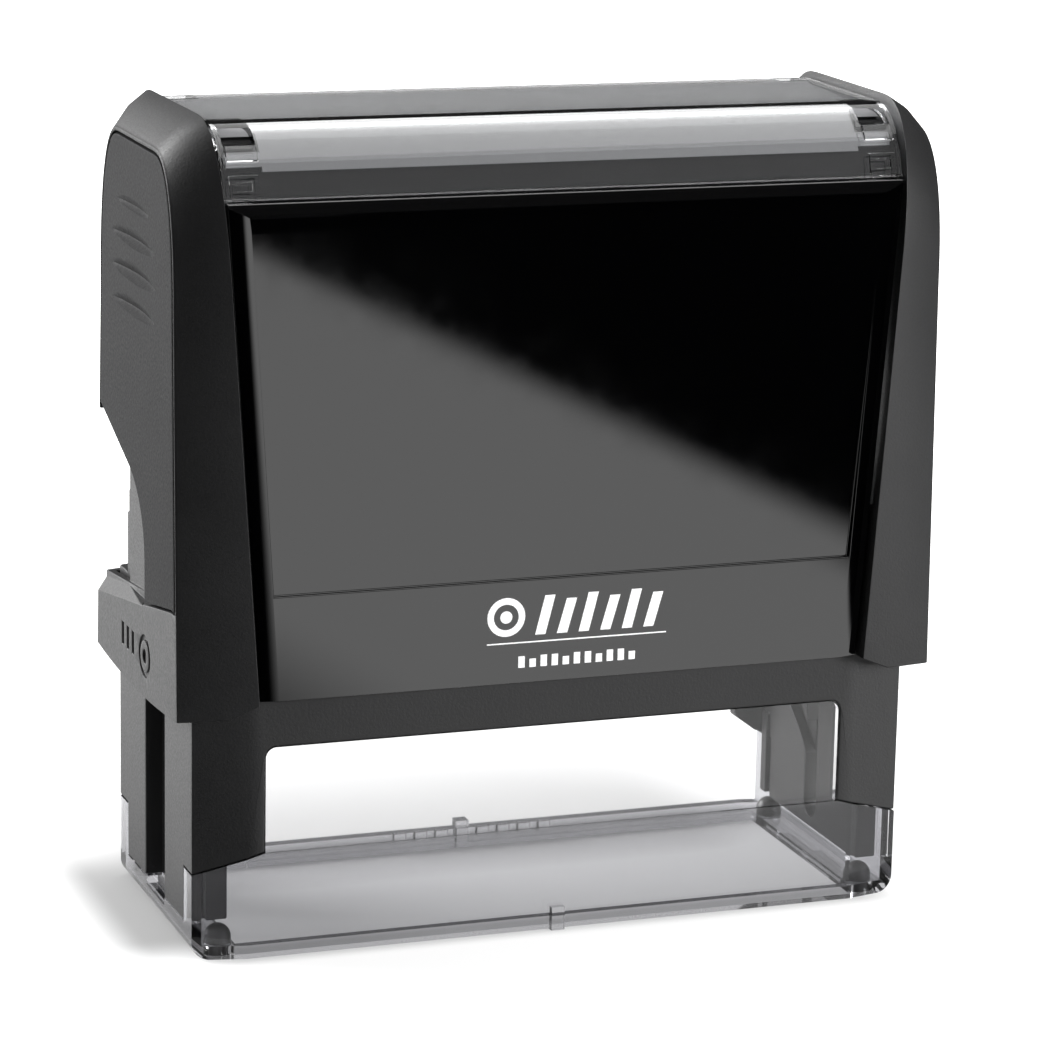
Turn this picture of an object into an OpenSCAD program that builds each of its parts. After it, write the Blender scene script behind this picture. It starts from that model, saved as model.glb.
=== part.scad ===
// Self-inking hand stamp: a black frame on a clear foot, with a spring-loaded cap that slides
// down over it. A yoke inside the cap carries the text plate, which turns over on its way down.
// +X runs along the stamp, -Y is the front and +Z is up. The origin lies on the paper, under the middle.

/* [Frame and foot] */
// Width of the frame and foot over the side walls
base_w = 84; // [83:0.25:85]
// Depth of the frame and foot over the flat front and back
base_d = 33.5; // [33.2:0.1:34]
// Depth of the flat part of each side wall
side_d = 30.8; // [30:0.1:31.5]
// Width of the flat part of the front and back
flat_w = 72; // [70:0.5:73]
// Height of the frame's top deck
frame_top = 47; // [47:0.25:48]
// Thickness of the frame's front and back walls
wall = 1.8; // [1.6:0.1:1.8]
// Thickness of the clear foot's walls
foot_wall = 1.4; // [1.2:0.1:1.5]
// Height of the front window's top edge
window_top = 24; // [22:0.25:25]
// Width of the front window
window_w = 68.2; // [66:0.2:69]
// Height of the clear skirt at the outer corners
skirt_h = 9.5; // [8.5:0.25:9.8]
// Height of the clear skirt beside the window
skirt_inner_h = 12.1; // [11:0.1:13]

/* [Cap] */
// Width of the cap over its side faces
cap_w = 88.6; // [88.4:0.1:90]
// Height of the cap's ridges above the paper, at rest
cap_top = 92.3; // [92:0.1:94]
// Lowest point of the cap's side faces, at rest
cap_bottom = 26.9; // [26.5:0.1:27.5]
// Clearance between the cap's inside and the frame
cap_gap = 0.35; // [0.3:0.05:0.4]
// Thickness of the clear index window
window_t = 1.0; // [0.8:0.1:1.1]
// Thickness of the side grips
grip_t = 1.0; // [0.8:0.1:1.1]

/* [Text plate and stroke] */
// Travel of the cap from rest to print
stroke = 23.5; // [22:0.25:23.5]
// Length of the imprint
die_l = 70; // [66:0.5:70]
// Depth of the imprint
die_d = 25; // [22:0.5:25]
// Distance from the text plate's axle to the printing face
face_h = 6.4; // [6.2:0.1:6.5]
// Radius of the axle stubs
axle_r = 1.5; // [1.3:0.1:1.6]
// Distance from the axle to the cam pins
cam_throw = 6; // [5.6:0.1:6]

/* [Springs and locks] */
// Distance of each return spring from the middle
spring_x = 20; // [16:0.5:24]
// Mean radius of the spring coils
spring_r = 4.6; // [4.4:0.1:5]
// Radius of the spring wire
wire_r = 0.45; // [0.4:0.05:0.5]
// Number of turns in each spring
turns = 9; // [7:1:10]
// Distance of each lock button from the middle
lock_x = 30; // [29:0.5:31]
// Travel of the lock buttons
lock_travel = 1.2; // [1:0.1:1.2]

/* [Hidden] */

$fn = 48;
far = 100;                              // longer than any side, for cuts that run right through
fit = 0.15;                             // gap between parts that are clipped together
slide_fit = 0.2;                        // gap beside parts that slide

// frame
end_wall_in = base_w / 2 - 4;           // inner face of the thick end walls
arm_pocket_in = base_w / 2 - 2.1;       // floor of the channel that each yoke arm runs in
axis_rest = face_h + stroke;            // height of the axle at rest
axis_print = face_h;                    // height of the axle when printing
foot_tongue_y = 12.1;                   // the side walls reach down between these, front and back
tongue_h = 3.6;                         // height of the skirt below those walls
pad_face = axis_rest + face_h + 1.55;   // room for the die's edges as the plate starts to turn
tray_low = pad_face + 1.05;             // rim of the ink tray
tray_high = tray_low + 5.5;
rail_top = tray_low - slide_fit;
post_h = 7;                             // spring guide posts
handle_sink = 0.9;                      // depth of the recess that the cartridge's handle sits in
handle_half = 37.4;                     // half the width of the handle
rear_open = 38;                         // half the width of the rear opening at its foot

// yoke arms
arm_half = 4;                           // half the depth of each arm
arm_t = 1.8;

// anti-slip plugs in the foot's corners
plug = [38.4, 12.9];                    // centre, in X and Y
plug_r = 1.5;
plug_h = 3.3;

// cap profile
ridge_flat = 9.3;                       // half the depth of the flat top
ridge_y = 18.95;                        // half the depth of the cap at its shoulders
shoulder_z = 74;                        // height at which the shoulders begin to turn in
panel_low = 29.5;                       // lower edge of the glossy front panel
panel_high = 83.8;                      // upper edge of the glossy panels
panel_face = 18.4;                      // the glossy panels' faces, front and back
crease_z = 41.2;                        // step across the front panel
panel_rim = 2.2;                        // width of the glossy panels' sloping side rims
bay_low = 36.1;                         // the rear opening that the ink cartridge leaves by
bay_high = 57.5;
bay_half = 38.5;
inside_low_top = 72;                    // above this the cap's inside is narrower
inside_d = 28.4;
ceiling = 86;
yoke_low = 82.6;                        // underside of the yoke's bridge
notch_c = [5.4, 42.5];                  // centre of the finger notch's rounded corner, in Y and Z
notch_r = 9.7;
scoop_edge = 7.3;                       // rear edge of the notch's sunken wall
grip_rim = 0.35;                        // rim of the side face left round each grip
grip_seam = 0.25;                       // gap between the rim and the grip
lock_z = 32;                            // middle of each lock button
nose_z = [33.9, 35.3];                  // the lock buttons' noses
lock_back = base_d / 2 + 0.1 + lock_travel;     // inner face of each lock button, clear of the frame

MATTE = [0.10, 0.10, 0.105];
GLOSS = [0.03, 0.03, 0.035];
SOFT = [0.17, 0.17, 0.175];
CLEAR = [0.72, 0.73, 0.76, 0.4];

// ---------- outlines and helpers ----------

// Plan outline of the frame, grown outwards by grow: a rectangle with its corners cut at a shallow angle.
function plan(grow = 0) = let (
    turn = atan((base_d - side_d) / (base_w - flat_w)),
    w = base_w / 2 + grow,
    d = base_d / 2 + grow,
    f = flat_w / 2 + grow * tan(turn / 2),
    s = side_d / 2 + grow * tan(45 - turn / 2)
) [[f, -d], [w, -s], [w, s], [f, d], [-f, d], [-w, s], [-w, -s], [-f, -d]];

// A quarter of a superellipse, from its widest point round to its top.
function shoulder(flat, low, width, height, steps = 16, power = 2.4) = [
    for (i = [0:steps]) let (t = 90 * i / steps)
        [flat + width * pow(cos(t), 2 / power), low + height * pow(sin(t), 2 / power)]
];

function reversed(points) = [for (i = [len(points) - 1:-1:0]) points[i]];

function mirrored(points) = [for (p = reversed(points)) [-p[0], p[1]]];

// Upper part of the cap's side profile, set in from the ridges by inset, in Y and Z.
function hood(inset) = let (
    arc = shoulder(ridge_flat, shoulder_z, ridge_y - ridge_flat - inset, cap_top - shoulder_z - inset)
) concat(arc, mirrored(arc));

// Points along a line from a to b, without b itself.
function along(a, b, steps = 8) = [for (i = [0:steps - 1]) a + (b - a) * i / steps];

// A closed side profile: up from the rear foot, round both arcs and down to the front foot.
function side_outline(rear_foot, rear_arc, front_arc, front_foot) = concat(
    along(rear_foot, rear_arc[0]),
    rear_arc,
    front_arc,
    reversed(along(front_foot, front_arc[len(front_arc) - 1]))
);

// Outline of the cap's flat side faces, in Y and Z.
function side_face() = side_outline(
    [17.0, cap_bottom],
    shoulder(6.7, 70, 8.1, 18.6),
    mirrored(shoulder(8.5, 72, 8, 16.6)),
    [-17.75, cap_bottom]
);

// Outline along the ridges at the inner edge of the end columns, in Y and Z.
function ridge_outline() = let (
    foot = ridge_y + 0.45,
    arc = shoulder(ridge_flat, shoulder_z, ridge_y - ridge_flat, cap_top - shoulder_z)
) side_outline([foot, cap_bottom], arc, mirrored(arc), [-foot, cap_bottom]);

// Half the width of the opening between the cap's end columns at height z.
function column_edge(z) = 35.3 + 4.4 * (z - cap_bottom) / (cap_top - cap_bottom);

module prism_x(points, x0, x1) {
    translate([x0, 0, 0]) rotate([90, 0, 90]) linear_extrude(x1 - x0) polygon(points);
}

module prism_y(points, y0, y1) {
    translate([0, y1, 0]) rotate([90, 0, 0]) linear_extrude(y1 - y0) polygon(points);
}

module prism_z(points, z0, z1) {
    translate([0, 0, z0]) linear_extrude(z1 - z0) polygon(points);
}

module block(low, high) {
    translate(low) cube(high - low);
}

module both_ends() {
    children();
    mirror([1, 0, 0]) children();
}

module front_and_back() {
    children();
    mirror([0, 1, 0]) children();
}

// A cylinder along X.
module rod_x(r, x0, x1, y = 0, z = 0) {
    translate([x0, y, z]) rotate([0, 90, 0]) cylinder(r = r, h = x1 - x0);
}

// ---------- frame and foot ----------

// Everything below the frame's walls, which the clear foot fills: grow shrinks it for the gap between them.
module skirt_zone(gap = 0) {
    half = base_w / 2 + 1;
    inner = window_w / 2;
    front_and_back() prism_y([[-half, -1], [half, -1], [half, skirt_h - gap], [inner, skirt_inner_h - gap],
        [-inner, skirt_inner_h - gap], [-half, skirt_h - gap]], -far, -foot_tongue_y - gap);
    block([-half, -far, -1], [half, far, tongue_h - gap]);
}

// Path of the cam pin down the end wall, as the axle drops by the stroke and turns half a turn.
module cam_track(x0, x1) {
    r = 1.1 + slide_fit;
    steps = 20;
    point = function (t) [cam_throw * sin(t), axis_rest - stroke * t / 180 - cam_throw * cos(t)];
    for (i = [0:steps]) let (p = point(180 * i / steps)) rod_x(r, x0, x1, p[0], p[1]);
    for (i = [0:steps - 1]) let (
        p = point(180 * i / steps),
        q = point(180 * (i + 1) / steps),
        n = r * [p[1] - q[1], q[0] - p[0]] / norm(q - p)
    ) prism_x([p - n, q - n, q + n, p + n], x0, x1);
}

// Upright slot with rounded ends for the axle stub.
module axle_slot(x0, x1) {
    r = axle_r + 0.1;
    block([x0, -r, axis_print], [x1, r, axis_rest]);
    rod_x(r, x0, x1, 0, axis_print);
    rod_x(r, x0, x1, 0, axis_rest);
}

// The front window's outline with round top corners, filled from y0 to y1 and set in by gap.
module window_fill(gap, z0, y0, y1) {
    w = window_w / 2 - gap;
    r = 1.2;
    top = window_top - gap;
    block([-w, y0, z0], [w, y1, top - r]);
    block([r - w, y0, z0], [w - r, y1, top]);
    both_ends() translate([w - r, y0, top - r]) rotate([-90, 0, 0]) cylinder(r = r, h = y1 - y0);
}

module frame() color(MATTE) {
    inner_d = base_d / 2 - wall;
    difference() {
        prism_z(plan(), 0, frame_top);
        block([-end_wall_in, -inner_d, -1], [end_wall_in, inner_d, tray_high + slide_fit]);
        skirt_zone();
        window_fill(0, -1, -base_d / 2 - 1, -inner_d + 1);
        // rear opening, wider at the bottom
        prism_y([[-rear_open, -1], [rear_open, -1], [rear_open, 10.6], [34.5, 13.2], [33.5, window_top],
            [-33.5, window_top], [-34.5, 13.2], [-rear_open, 10.6]], 10, far);
        // way out for the ink cartridge, and the recess for its handle
        block([-end_wall_in, 10, bay_low], [end_wall_in, far, tray_high + slide_fit]);
        handle_shell(-handle_sink, 1, tray_low, frame_top - 0.2, handle_half + 0.2);
        both_ends() {
            // the rear corners stop short of the cap's finger notches
            block([end_wall_in - 0.1, 12, bay_low + 1.1], [far, far, far]);
            block([end_wall_in - 0.1, 11.3, 44.3], [far, far, far]);
            block([arm_pocket_in, -arm_half - slide_fit, tongue_h - 1], [far, arm_half + slide_fit, far]);
            axle_slot(end_wall_in - 1, arm_pocket_in + 1);
            cam_track(end_wall_in - 1, end_wall_in + 1.3);
            // keyways for the lock buttons' noses, with the locking rib left between them
            block([lock_x - 2.2, inner_d - 1, window_top - 1], [lock_x + 2.2, far, 31.3]);
            block([lock_x - 2.2, inner_d - 1, 33.2], [lock_x + 2.2, far, 35.6]);
        }
    }
    both_ends() {
        // rails that carry the cartridge
        block([end_wall_in - 1.1, -inner_d, bay_low + 0.2], [end_wall_in, inner_d, rail_top]);
        translate([spring_x, 0, frame_top]) cylinder(r = 3.3, h = post_h);
        // hooks that hold the clear foot
        front_and_back()
            block([end_wall_in - 0.4, 1 - inner_d, 4], [end_wall_in + 2, -foot_tongue_y - 0.4, 14]);
    }
}

// Small moulded mark that shows the middle of a side.
module centre_mark() {
    rotate([0, 0, 45]) cylinder(r = 1.1, h = 2.7, $fn = 4);
}

// Band that follows the rear of the plan outline, from one offset to another.
module handle_shell(inner, outer, z0, z1, half) {
    intersection() {
        difference() {
            prism_z(plan(outer), z0, z1);
            prism_z(plan(inner), 0, far);
        }
        block([-half, 13, 0], [half, far, far]);
    }
}

// Cutter that rounds the edge between the foot's end and its underside.
module round_edge() {
    r = 2;
    difference() {
        block([base_w / 2 - r, -far, -1], [far, far, r]);
        translate([base_w / 2 - r, far + 1, r]) rotate([90, 0, 0]) cylinder(r = r, h = 2 * far + 2);
    }
}

module clear_foot() color(CLEAR) {
    front = base_d / 2;
    difference() {
        intersection() {
            difference() {
                prism_z(plan(), 0, skirt_inner_h + 1);
                prism_z(plan(-foot_wall), -1, skirt_inner_h + 2);
            }
            skirt_zone(fit);
        }
        both_ends() {
            block([arm_pocket_in - 3, -arm_half, 2.6], [far, arm_half, far]);
            round_edge();
        }
        // the back is open above a low flange
        block([-rear_open, 0, 2], [rear_open, far, far]);
    }
    window_fill(fit, skirt_inner_h - 1, 0.25 - front, 1.45 - front);
    // floor rim around the imprint opening
    difference() {
        prism_z(plan(-0.5), 0, 1.2);
        block([-die_l / 2 - 1.8, -14.3, -1], [die_l / 2 + 1.8, 14.3, 2]);
        both_ends() {
            round_edge();
            front_and_back() translate([plug[0], plug[1], -1]) cylinder(r = plug_r + 0.05, h = 4);
        }
    }
    // ribs that stiffen the rim
    for (x = [-9:2.6:10]) block([x, 14.6, 1], [x + 1.5, 15.5, 2.3]);
    translate([0, -front, 0]) centre_mark();
    translate([0, front, 0]) centre_mark();
}

module corner_feet() color(SOFT) {
    both_ends() front_and_back() translate(plug) {
        cylinder(r = plug_r, h = plug_h - plug_r);
        translate([0, 0, plug_h - plug_r]) sphere(r = plug_r);
    }
}

// ---------- ink ----------

module ink_cartridge() color(SOFT) {
    inner = 36;
    difference() {
        block([-37.7, -14.7, tray_low], [37.7, base_d / 2 - 0.3, tray_high]);
        block([-inner, -13.2, tray_low - 1], [inner, 13.2, tray_high - 1.5]);
    }
    // handle across the back, with finger ridges
    difference() {
        handle_shell(slide_fit - handle_sink, 0.05, tray_low + 0.2, frame_top - 0.4, handle_half);
        for (i = [-3:3]) translate([i * 4, base_d / 2 + 1, 0]) cylinder(r = 1.4, h = far);
    }
}

module ink_pad() color([0.08, 0.08, 0.1]) {
    block([-35.8, -13, pad_face], [35.8, 13, tray_high - 1.6]);
}

// ---------- cap ----------

// Shape cut out of the cap's side walls so that fingers reach the cartridge. A larger r cuts nearer
// the front, and the notch's floor climbs by rise towards the front.
module finger_notch(r, x0, x1, rise = 0) {
    arc = [for (a = [180:-10:110]) notch_c + r * [cos(a), sin(a)]];
    end = arc[len(arc) - 1] + 22 * [cos(20), sin(20)];
    floor = [[far, bay_low], [ridge_y, bay_low], [notch_c[0] - r, bay_low + rise]];
    prism_x(concat(floor, arc, [end, [far, end[1]]]), x0, x1);
}

// The same notch in the cap's wall: open at the rear, and a sunken, sloping wall ahead of that.
module finger_scoop() {
    r = notch_r - 0.8;
    sunk = 1.1;
    intersection() {
        finger_notch(r, bay_half, far, 2.3);
        union() {
            block([0, scoop_edge, 0], [far, far, far]);
            translate([cap_w / 2 - sunk, notch_c[0] - r, 0]) rotate([0, 0, 1.5])
                block([0, -1, 0], [far, far, far]);
        }
    }
    // the floor slopes away at the side face
    translate([cap_w / 2 - sunk, notch_c[0] - r, bay_low + 1]) rotate([-9, 0, 0])
        prism_y([[sunk + 0.1, 0], [sunk + 0.1, 9], [0, 9], [0, 1.6]], 0, 30);
}

// Plain engraved mark on each side face: a ring round a dot, and three short bars.
module side_mark() {
    depth = 0.3;
    translate([cap_w / 2 - depth, -4.2, 31.7]) rotate([0, 90, 0]) {
        difference() {
            cylinder(r = 2.4, h = 1);
            translate([0, 0, -1]) cylinder(r = 1.8, h = 3);
        }
        cylinder(r = 0.8, h = 1);
    }
    for (y = [0.4, 2.6, 4.8]) block([cap_w / 2 - depth, y, 30.6], [far, y + 0.9, 33.2]);
}

// Solid that runs from the flat side face, over a slightly crowned ring, to the ridges.
module end_loft() {
    face = side_face();
    ridge = ridge_outline();
    count = len(face);
    crown = 0.62;
    outer = [for (p = face) [cap_w / 2, p[0], p[1]]];
    inner = [for (p = ridge) [column_edge(p[1]), p[0], p[1]]];
    middle = [for (i = [0:count - 1]) let (
        p = face[i] + (ridge[i] - face[i]) * crown
    ) [(outer[i][0] + inner[i][0]) / 2, p[0], p[1]]];
    walls = [for (ring = [0, count], i = [0:count - 1]) let (
        a = ring + i,
        b = ring + (i + 1) % count
    ) each [[a, b, a + count], [b, b + count, a + count]]];
    // the two end faces, as strips from the rear outline to the front one
    strips = [for (i = [0:count / 2 - 2]) let (
        strip = [i, i + 1, count - 2 - i, count - 1 - i]
    ) each [reversed(strip), [for (k = strip) 2 * count + k]]];
    polyhedron(concat(outer, middle, inner), concat(walls, strips));
}

// One end of the cap: a flat side face, a bevel up to the ridge and slanted front and back columns.
module cap_end() {
    intersection() {
        // the ridge leans outwards as it rises, and the columns' faces slant back from it
        end_loft();
        // the columns' feet rise towards the middle
        prism_y([[column_edge(cap_bottom) - 1, panel_low + 0.4], [41.3, cap_bottom], [far, cap_bottom],
            [far, far], [0, far]], -far, far);
        // shallow arc under the side face
        arch = [for (i = [10:-1:-10]) [i * 2, cap_bottom + 0.9 * pow(i / 8.7, 2)]];
        prism_x(concat([[-far, far], [far, far]], arch), 0, far);
    }
}

module lock_hole() {
    face = ridge_y + 1;
    block([lock_x - 4 - fit, 0, lock_z - 2.5 - fit], [lock_x + 4 + fit, face, lock_z + 2.5 + fit]);
    block([lock_x - 4.8 - fit, 0, lock_z - 3 - fit], [lock_x + 4.8 + fit, 18.6, nose_z[1] + fit]);
}

module cap_body() color(MATTE) {
    rear = ridge_y + 0.4;
    deck = hood(2.15);
    difference() {
        union() {
            both_ends() cap_end();
            // deck under the index card, with front and back lips
            intersection() {
                prism_x(deck, -40, 40);
                block([-40, -far, 83.9], [40, far, far]);
            }
            front_and_back() block([-40, -15.75, 80], [40, -inside_d / 2, 84]);
            // band across the back, below the cartridge
            block([-38, base_d / 2, 28.2], [38, rear, bay_low]);
        }
        prism_z(plan(cap_gap), 0, inside_low_top);
        block([-base_w / 2 - cap_gap, -inside_d / 2, 50], [base_w / 2 + cap_gap, inside_d / 2, ceiling]);
        both_ends() {
            finger_scoop();
            side_recess();
            side_mark();
            lock_hole();
        }
        // opening above the band
        block([-bay_half - 0.1, 10, bay_low], [bay_half + 0.1, far, bay_high]);
    }
}

// The area of the side face that a grip covers, set in from its outline. Its foot rises to the front.
module grip_area(inset) {
    foot = 36.85 + inset;
    step = 2.3;
    difference() {
        offset(delta = -inset) polygon(side_face());
        polygon([[-far, 0], [far, 0], [far, foot], [-2, foot], [-15.4, foot + step], [-far, foot + step]]);
    }
}

// Pocket in the side face that holds a grip.
module side_recess() {
    translate([cap_w / 2 - grip_t - 0.05, 0, 0]) rotate([90, 0, 90]) linear_extrude(2) grip_area(grip_rim);
}

module grip() {
    groove_r = 60;
    low = cap_w / 2 - grip_t;
    heights = [81.3, 77.5, 73.75, 70];
    halves = [7, 9.2, 9.6, 9];
    difference() {
        translate([low, 0, 0]) rotate([90, 0, 90]) linear_extrude(grip_t + 0.05) grip_area(grip_rim + grip_seam);
        finger_notch(notch_r, 40, far);
        // lens-shaped finger grooves, shallow from above and steep below
        for (i = [0:3]) let (reach = groove_r - pow(halves[i], 2) / 2 / groove_r)
            translate([cap_w / 2 + reach, 0.2, heights[i]]) rotate([0, 0, 168])
                rotate_extrude(angle = 24, $fn = 240) translate([groove_r, 0])
                    polygon([[-1.5, 2.5], [-0.2, 0.15], [0, -0.35], [-0.1, -0.55], [-1.5, -1.75]]);
    }
}

module left_grip() color(SOFT) mirror([1, 0, 0]) grip();
module right_grip() color(SOFT) grip();

// A glossy panel between the columns, from low to high, with sloping sides and a flange behind its top edge.
module glossy_panel(low, high) {
    top_rim = 1.3;
    back = -base_d / 2 - cap_gap;
    edge = function (z) column_edge(z) - 0.3;
    slope = (edge(high) - edge(low)) / (high - low);
    difference() {
        prism_y([[-edge(low), low], [edge(low), low], [edge(high), high], [-edge(high), high]],
            -panel_face, back);
        both_ends() {
            // sloping side rims
            rotate([0, atan(slope), 0]) translate([edge(0) * cos(atan(slope)), -panel_face, 0])
                prism_z([[0.01, -1], [0.01, 0.6], [-panel_rim, -0.01], [-panel_rim, -1]], -5, far);
        }
        // sloping top rim
        top = high + 0.01;
        prism_x([[-panel_face - 1, high - top_rim], [-panel_face - 0.01, high - top_rim],
            [-panel_face + 0.7, top], [-panel_face - 1, top]], -far, far);
    }
    block([-edge(high) + 1, back - 0.2, high - 1.2], [edge(high) - 1, -15.85, high]);
}

module front_panel() color(GLOSS) {
    dish = 0.55;
    difference() {
        glossy_panel(panel_low, panel_high);
        // the upper field is dished, deepest at the crease
        intersection() {
            prism_x([[-panel_face - 1, crease_z], [-panel_face + dish, crease_z], [-panel_face - 0.01, 81.5],
                [-panel_face - 1, 81.5]], -far, far);
            half = function (z) column_edge(z) - 0.4 - panel_rim;
            prism_y([[-half(crease_z), crease_z], [half(crease_z), crease_z], [half(82), 82],
                [-half(82), 82]], -far, 0);
        }
    }
}

module rear_panel() color(GLOSS) {
    mirror([0, 1, 0]) glossy_panel(bay_high + fit, panel_high);
}

module index_card() color("whitesmoke") {
    intersection() {
        difference() {
            prism_x(hood(1.85), -38.2, 38.2);
            prism_x(hood(2.1), -39, 39);
        }
        // full width on top and behind the window's clip tabs, narrower elsewhere
        union() {
            block([-far, -far, 90], [far, far, far]);
            block([-far, -far, 87.1], [far, far, 88.4]);
            block([-34.3, -far, 86.6], [34.3, far, far]);
        }
    }
}

// Curved sheet that follows the hood, from one inset to a deeper one.
module hood_sheet(outer, inner, low, high) {
    difference() {
        prism_x(hood(outer), low[0], high[0]);
        prism_x(hood(inner), low[0] - 1, high[0] + 1);
        block([-far, -far, -1], [far, far, low[1]]);
        block([-far, -far, high[1]], [far, far, far]);
    }
}

module index_window() color(CLEAR) {
    reach = column_edge(84) - fit;
    inset = 0.8;
    clip = [34.8, 38.4];
    difference() {
        hood_sheet(inset, inset + window_t, [-reach, 84], [reach, cap_top]);
        // openings above the clips
        both_ends() front_and_back() block([clip[0], -far, 89.5], [clip[1], -8, 91]);
    }
    // raised clip tabs, and a ring below each
    both_ends() {
        hood_sheet(inset - 0.35, inset + window_t, [clip[0] + 0.1, 88], [clip[1] - 0.1, 89.5]);
        difference() {
            hood_sheet(inset - 0.3, inset + window_t, [clip[0] + 0.3, 84.4], [clip[1] - 0.1, 86.6]);
            front_and_back() block([clip[0] + 1, -far, 85], [clip[1] - 0.8, -10, 86]);
        }
    }
}

// ---------- moving parts inside ----------

module yoke() color(MATTE) {
    outer = base_w / 2 - 0.1;
    difference() {
        union() {
            block([-outer, -8, yoke_low], [outer, 8, ceiling - 0.1]);
            both_ends() {
                block([outer - arm_t, -arm_half, axis_rest + 1], [outer, arm_half, yoke_low + 1]);
                block([outer - arm_t, -arm_half + 1, axis_rest - 2.9], [outer, arm_half - 1, axis_rest + 2]);
                translate([spring_x, 0, yoke_low - 3]) cylinder(r = 2.6, h = 4);
            }
        }
        both_ends() rod_x(axle_r + 0.05, outer - arm_t - 1, outer + 1, 0, axis_rest);
        // lightening pockets between the spring seats
        for (x = [-10, 0, 10, -31, 31]) translate([x, 0, yoke_low - 1]) cylinder(r = 4, h = 3);
    }
}

module text_plate_carrier() color(MATTE) {
    reach = 36.6;
    translate([0, 0, axis_rest]) {
        block([-reach, -13.2, 1.6], [reach, 13.2, face_h - 3]);
        rod_x(3, -reach, reach);
        for (x = [-24, -12, 0, 12, 24]) difference() {
            block([x - 0.7, -11, -2], [x + 0.7, 11, 2]);
            front_and_back() rotate([-11, 0, 0]) block([x - 1, -14, -6], [x + 1, -1, -1.2]);
        }
        both_ends() {
            // crank that carries the cam pin
            rod_x(2.2, reach - 1.2, reach, 0, -cam_throw);
            block([reach - 1.2, -2.2, -cam_throw], [reach, 2.2, 0]);
            rod_x(axle_r, reach - 1, base_w / 2 - 0.3);
            rod_x(1.1, reach - 1, end_wall_in + 1.1, 0, -cam_throw);
        }
    }
}

module die_foam() color("gainsboro") {
    block([-die_l / 2 + 0.2, -die_d / 2 + 0.2, axis_rest + face_h - 2.95],
        [die_l / 2 - 0.2, die_d / 2 - 0.2, axis_rest + face_h - 1.85]);
}

module text_die() color([0.45, 0.45, 0.47]) {
    base = axis_rest + face_h - 1.8;
    face = axis_rest + face_h;
    w = die_l / 2;
    d = die_d / 2;
    block([-w, -d, base], [w, d, face - 0.8]);
    // raised border and rows of plain bars
    difference() {
        block([-w + 0.8, -d + 0.8, face - 1], [w - 0.8, d - 0.8, face]);
        block([-w + 1.8, -d + 1.8, face - 2], [w - 1.8, d - 1.8, far]);
    }
    for (row = [[6.4, 44, 3.2], [0.8, 56, 2], [-3.4, 50, 2], [-7.6, 36, 2]])
        block([-row[1] / 2, row[0] - row[2] / 2, face - 1], [row[1] / 2, row[0] + row[2] / 2, face]);
}

// A coil of round wire about Z from z0 to z1, as rings of points joined by faces.
module coil(z0, z1) {
    per_turn = 14;
    around = 6;
    rings = turns * per_turn;
    lift = (z1 - z0 - 2 * wire_r) / 360 / turns;
    points = [for (i = [0:rings], j = [0:around - 1]) let (
        a = 360 * i / per_turn,
        b = 360 * j / around,
        out = [cos(a), sin(a), 0],
        r = spring_r + wire_r * cos(b)
    ) [r * out[0], r * out[1], z0 + wire_r + lift * a + wire_r * sin(b)]];
    sides = [for (i = [0:rings - 1], j = [0:around - 1]) let (
        k = (j + 1) % around
    ) [i * around + j, i * around + k, (i + 1) * around + k, (i + 1) * around + j]];
    first = [for (j = [around - 1:-1:0]) j];
    last = [for (j = [0:around - 1]) rings * around + j];
    polyhedron(points, concat(sides, [first, last]));
}

module return_spring() color("silver") {
    translate([spring_x, 0, 0]) coil(frame_top + 0.05, yoke_low - 0.05);
}

module left_return_spring() mirror([1, 0, 0]) return_spring();
module right_return_spring() return_spring();

module lock_button() color(SOFT) {
    face = ridge_y + 0.45;
    block([lock_x - 4, lock_back, lock_z - 2.5], [lock_x + 4, face, lock_z + 2.5]);
    block([lock_x - 4.8, lock_back, lock_z - 3], [lock_x + 4.8, 18.5, nose_z[1]]);
    block([lock_x - 1.6, base_d / 2 + cap_gap, nose_z[0]], [lock_x + 1.6, 18.4, nose_z[1]]);
}

module left_lock_button() mirror([1, 0, 0]) lock_button();
module right_lock_button() lock_button();

frame();
clear_foot();
corner_feet();
ink_cartridge();
ink_pad();
cap_body();
front_panel();
rear_panel();
left_grip();
right_grip();
yoke();
index_card();
index_window();
text_plate_carrier();
die_foam();
text_die();
left_return_spring();
right_return_spring();
left_lock_button();
right_lock_button();
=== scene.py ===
"""Looks for the self inking stamp: materials, springs, felt, printed mark, studio and camera."""
import math

import bmesh
import bpy
from mathutils import Matrix, Vector, noise


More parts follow.
